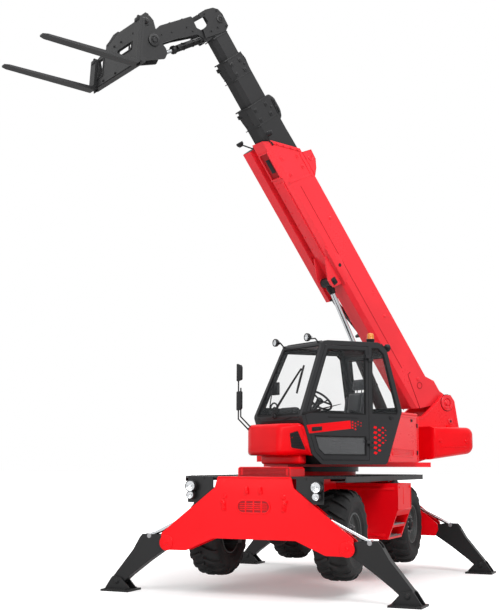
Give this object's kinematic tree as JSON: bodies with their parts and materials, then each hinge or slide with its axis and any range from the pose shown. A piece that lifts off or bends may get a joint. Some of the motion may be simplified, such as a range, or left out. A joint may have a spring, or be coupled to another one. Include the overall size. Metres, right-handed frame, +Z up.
{
  "type": "rotating telehandler on stabilisers",
  "caption": "Slewing telehandler parked on its stabilisers, with cab, telescopic boom raised and pallet forks at the boom head.",
  "frame": {"origin": "ground point under the slewing axis, midway between the axles", "axes": "+X to the front of the chassis, +Y to its left, +Z up; the upper structure is parked turned 32 degrees to the right"},
  "size_m": [7.111, 5.3972, 8.2852],
  "materials": {
    "red_paint": "gloss",
    "dark_paint": "satin",
    "boom_grey": "satin",
    "cab_grey": "satin",
    "tyre_rubber": "matt",
    "rim_grey": "satin",
    "chrome_rod": "polished",
    "pane": "clear, grey tint",
    "plastic": "grained",
    "seat_cover": "woven",
    "engine_iron": "as cast",
    "lamp": "clear lens"
  },
  "bodies": {
    "chassis": {"chassis_frame": "red_paint", "stabiliser_beams": "red_paint", "deck": "dark_paint", "side_tanks": "red_paint", "headlamps": "dark_paint", "axles": "dark_paint"},
    "knuckle_front_left": {"knuckle_front_left": "dark_paint"},
    "wheel_front_left": {"tyre_front_left": "tyre_rubber", "rim_front_left": "rim_grey"},
    "leg_front_left": {"leg_front_left": "dark_paint"},
    "foot_front_left": {"foot_front_left": "dark_paint"},
    "leg_ram_barrel_front_left": {"leg_ram_barrel_front_left": "dark_paint"},
    "leg_ram_rod_front_left": {"leg_ram_rod_front_left": "chrome_rod"},
    "knuckle_front_right": {"knuckle_front_right": "dark_paint"},
    "wheel_front_right": {"tyre_front_right": "tyre_rubber", "rim_front_right": "rim_grey"},
    "leg_front_right": {"leg_front_right": "dark_paint"},
    "foot_front_right": {"foot_front_right": "dark_paint"},
    "leg_ram_barrel_front_right": {"leg_ram_barrel_front_right": "dark_paint"},
    "leg_ram_rod_front_right": {"leg_ram_rod_front_right": "chrome_rod"},
    "knuckle_rear_left": {"knuckle_rear_left": "dark_paint"},
    "wheel_rear_left": {"tyre_rear_left": "tyre_rubber", "rim_rear_left": "rim_grey"},
    "leg_rear_left": {"leg_rear_left": "dark_paint"},
    "foot_rear_left": {"foot_rear_left": "dark_paint"},
    "leg_ram_barrel_rear_left": {"leg_ram_barrel_rear_left": "dark_paint"},
    "leg_ram_rod_rear_left": {"leg_ram_rod_rear_left": "chrome_rod"},
    "knuckle_rear_right": {"knuckle_rear_right": "dark_paint"},
    "wheel_rear_right": {"tyre_rear_right": "tyre_rubber", "rim_rear_right": "rim_grey"},
    "leg_rear_right": {"leg_rear_right": "dark_paint"},
    "foot_rear_right": {"foot_rear_right": "dark_paint"},
    "leg_ram_barrel_rear_right": {"leg_ram_barrel_rear_right": "dark_paint"},
    "leg_ram_rod_rear_right": {"leg_ram_rod_rear_right": "chrome_rod"},
    "turret": {"turret_frame": "red_paint", "counterweight": "red_paint", "side_cover": "red_paint", "engine_hood": "red_paint", "engine": "engine_iron", "nose": "red_paint", "cab_shell": "cab_grey", "cab_glass": "pane", "seat": "seat_cover", "cab_console": "plastic", "cab_fittings": "plastic"},
    "door": {"door_frame": "cab_grey", "door_glass": "pane"},
    "boom": {"boom_outer": "red_paint", "hose_tray": "red_paint"},
    "section_2": {"boom_section_2": "boom_grey"},
    "section_3": {"boom_section_3": "boom_grey"},
    "boom_head": {"boom_head": "boom_grey"},
    "carriage": {"carriage": "boom_grey", "forks": "boom_grey"},
    "tilt_barrel": {"tilt_barrel": "dark_paint"},
    "tilt_rod": {"tilt_rod": "chrome_rod"},
    "lift_rod": {"lift_rod": "chrome_rod"},
    "lift_barrel": {"lift_barrel": "dark_paint"}
  },
  "joints": [
    {"name": "slew", "type": "hinge", "parent": "chassis", "child": "turret", "pos_m": [0, 0, 1.555], "axis": [0, 0, 1], "continuous": true},
    {"name": "cab_door", "type": "hinge", "parent": "turret", "child": "door", "pos_m": [0.50447, 1.00545, 2.5], "axis": [0, 0, 1], "range_deg": [0, 175]},
    {"name": "boom_lift", "type": "hinge", "parent": "turret", "child": "boom", "pos_m": [-2.44977, 1.21241, 2.647], "axis": [-0.5299, -0.848, 0], "range_deg": [-56, 28]},
    {"name": "telescope", "type": "slide", "parent": "boom", "child": "section_2", "axis": [0.5104, -0.3189, 0.7986], "range_m": [-0.3, 2.1]},
    {"name": "telescope_3", "type": "slide", "parent": "section_2", "child": "section_3", "axis": [0.5104, -0.3189, 0.7986], "range_m": [-0.3, 2.1]},
    {"name": "telescope_4", "type": "slide", "parent": "section_3", "child": "boom_head", "axis": [0.5104, -0.3189, 0.7986], "range_m": [-0.3, 2.1]},
    {"name": "fork_tilt", "type": "hinge", "parent": "boom_head", "child": "carriage", "pos_m": [2.16287, -1.66989, 7.53866], "axis": [0.5299, 0.848, 0], "range_deg": [-62, 48]},
    {"name": "tilt_ram_swing", "type": "hinge", "parent": "boom_head", "child": "tilt_barrel", "pos_m": [1.40948, -1.19912, 7.81368], "axis": [0.5299, 0.848, 0], "range_deg": [-3.2, 4.13]},
    {"name": "tilt_ram_stroke", "type": "slide", "parent": "tilt_barrel", "child": "tilt_rod", "axis": [0.7376, -0.4609, -0.4935], "range_m": [-0.1411, 0.1823]},
    {"name": "lift_ram_swing", "type": "hinge", "parent": "boom", "child": "lift_rod", "pos_m": [-0.5645, 0.03436, 4.43396], "axis": [-0.5299, -0.848, 0], "range_deg": [-3.96, 1.98]},
    {"name": "lift_ram_stroke", "type": "slide", "parent": "lift_rod", "child": "lift_barrel", "axis": [-0.4112, 0.2569, -0.8746], "range_m": [-1.0316, 0.5158]},
    {"name": "stabiliser_front_left", "type": "hinge", "parent": "chassis", "child": "leg_front_left", "pos_m": [2.153, 1.227, 0.642], "axis": [1, 0, 0], "range_deg": [0, 110]},
    {"name": "foot_swivel_front_left", "type": "hinge", "parent": "leg_front_left", "child": "foot_front_left", "pos_m": [2.153, 1.96, 0.13], "axis": [1, 0, 0], "range_deg": [-30, 30]},
    {"name": "leg_ram_swing_front_left", "type": "hinge", "parent": "chassis", "child": "leg_ram_barrel_front_left", "pos_m": [2.153, 0.4, 1.25], "axis": [1, 0, 0], "range_deg": [0, 1.82]},
    {"name": "leg_ram_stroke_front_left", "type": "slide", "parent": "leg_ram_barrel_front_left", "child": "leg_ram_rod_front_left", "axis": [0, 0.9015, -0.4327], "range_m": [-0.4773, 0]},
    {"name": "steer_front_left", "type": "hinge", "parent": "chassis", "child": "knuckle_front_left", "pos_m": [1.433, 0.775, 0.76], "axis": [0, 0, 1], "range_deg": [-25, 25]},
    {"name": "wheel_front_left", "type": "hinge", "parent": "knuckle_front_left", "child": "wheel_front_left", "pos_m": [1.433, 0.872, 0.76], "axis": [0, 1, 0], "continuous": true},
    {"name": "stabiliser_front_right", "type": "hinge", "parent": "chassis", "child": "leg_front_right", "pos_m": [2.153, -1.227, 0.642], "axis": [-1, 0, 0], "range_deg": [0, 110]},
    {"name": "foot_swivel_front_right", "type": "hinge", "parent": "leg_front_right", "child": "foot_front_right", "pos_m": [2.153, -1.96, 0.13], "axis": [-1, 0, 0], "range_deg": [-30, 30]},
    {"name": "leg_ram_swing_front_right", "type": "hinge", "parent": "chassis", "child": "leg_ram_barrel_front_right", "pos_m": [2.153, -0.4, 1.25], "axis": [-1, 0, 0], "range_deg": [0, 1.82]},
    {"name": "leg_ram_stroke_front_right", "type": "slide", "parent": "leg_ram_barrel_front_right", "child": "leg_ram_rod_front_right", "axis": [0, -0.9015, -0.4327], "range_m": [-0.4773, 0]},
    {"name": "steer_front_right", "type": "hinge", "parent": "chassis", "child": "knuckle_front_right", "pos_m": [1.433, -0.775, 0.76], "axis": [0, 0, 1], "range_deg": [-25, 25]},
    {"name": "wheel_front_right", "type": "hinge", "parent": "knuckle_front_right", "child": "wheel_front_right", "pos_m": [1.433, -0.872, 0.76], "axis": [0, 1, 0], "continuous": true},
    {"name": "stabiliser_rear_left", "type": "hinge", "parent": "chassis", "child": "leg_rear_left", "pos_m": [-2.153, 1.227, 0.642], "axis": [1, 0, 0], "range_deg": [0, 110]},
    {"name": "foot_swivel_rear_left", "type": "hinge", "parent": "leg_rear_left", "child": "foot_rear_left", "pos_m": [-2.153, 1.96, 0.13], "axis": [1, 0, 0], "range_deg": [-30, 30]},
    {"name": "leg_ram_swing_rear_left", "type": "hinge", "parent": "chassis", "child": "leg_ram_barrel_rear_left", "pos_m": [-2.153, 0.4, 1.25], "axis": [1, 0, 0], "range_deg": [0, 1.82]},
    {"name": "leg_ram_stroke_rear_left", "type": "slide", "parent": "leg_ram_barrel_rear_left", "child": "leg_ram_rod_rear_left", "axis": [0, 0.9015, -0.4327], "range_m": [-0.4773, 0]},
    {"name": "steer_rear_left", "type": "hinge", "parent": "chassis", "child": "knuckle_rear_left", "pos_m": [-1.433, 0.775, 0.76], "axis": [0, 0, 1], "range_deg": [-25, 25]},
    {"name": "wheel_rear_left", "type": "hinge", "parent": "knuckle_rear_left", "child": "wheel_rear_left", "pos_m": [-1.433, 0.872, 0.76], "axis": [0, 1, 0], "continuous": true},
    {"name": "stabiliser_rear_right", "type": "hinge", "parent": "chassis", "child": "leg_rear_right", "pos_m": [-2.153, -1.227, 0.642], "axis": [-1, 0, 0], "range_deg": [0, 110]},
    {"name": "foot_swivel_rear_right", "type": "hinge", "parent": "leg_rear_right", "child": "foot_rear_right", "pos_m": [-2.153, -1.96, 0.13], "axis": [-1, 0, 0], "range_deg": [-30, 30]},
    {"name": "leg_ram_swing_rear_right", "type": "hinge", "parent": "chassis", "child": "leg_ram_barrel_rear_right", "pos_m": [-2.153, -0.4, 1.25], "axis": [-1, 0, 0], "range_deg": [0, 1.82]},
    {"name": "leg_ram_stroke_rear_right", "type": "slide", "parent": "leg_ram_barrel_rear_right", "child": "leg_ram_rod_rear_right", "axis": [0, -0.9015, -0.4327], "range_m": [-0.4773, 0]},
    {"name": "steer_rear_right", "type": "hinge", "parent": "chassis", "child": "knuckle_rear_right", "pos_m": [-1.433, -0.775, 0.76], "axis": [0, 0, 1], "range_deg": [-25, 25]},
    {"name": "wheel_rear_right", "type": "hinge", "parent": "knuckle_rear_right", "child": "wheel_rear_right", "pos_m": [-1.433, -0.872, 0.76], "axis": [0, 1, 0], "continuous": true}
  ],
  "couplings": [
    {"joint": "telescope_3", "follows": "telescope", "ratio": 1},
    {"joint": "telescope_4", "follows": "telescope", "ratio": 1},
    {"joint": "tilt_ram_swing", "follows": "fork_tilt", "ratio": -0.06594},
    {"joint": "tilt_ram_stroke", "follows": "fork_tilt", "m_per_rad": -0.1668},
    {"joint": "lift_ram_swing", "follows": "boom_lift", "ratio": 0.07},
    {"joint": "lift_ram_stroke", "follows": "boom_lift", "m_per_rad": 1.045},
    {"joint": "leg_ram_swing_front_left", "follows": "stabiliser_front_left", "ratio": 0.01635},
    {"joint": "leg_ram_stroke_front_left", "follows": "stabiliser_front_left", "m_per_rad": -0.24616},
    {"joint": "leg_ram_swing_front_right", "follows": "stabiliser_front_right", "ratio": 0.01635},
    {"joint": "leg_ram_stroke_front_right", "follows": "stabiliser_front_right", "m_per_rad": -0.24616},
    {"joint": "leg_ram_swing_rear_left", "follows": "stabiliser_rear_left", "ratio": 0.01635},
    {"joint": "leg_ram_stroke_rear_left", "follows": "stabiliser_rear_left", "m_per_rad": -0.24616},
    {"joint": "leg_ram_swing_rear_right", "follows": "stabiliser_rear_right", "ratio": 0.01635},
    {"joint": "leg_ram_stroke_rear_right", "follows": "stabiliser_rear_right", "m_per_rad": -0.24616},
    {"joint": "steer_front_right", "follows": "steer_front_left", "ratio": 1},
    {"joint": "steer_rear_right", "follows": "steer_rear_left", "ratio": 1}
  ]
}
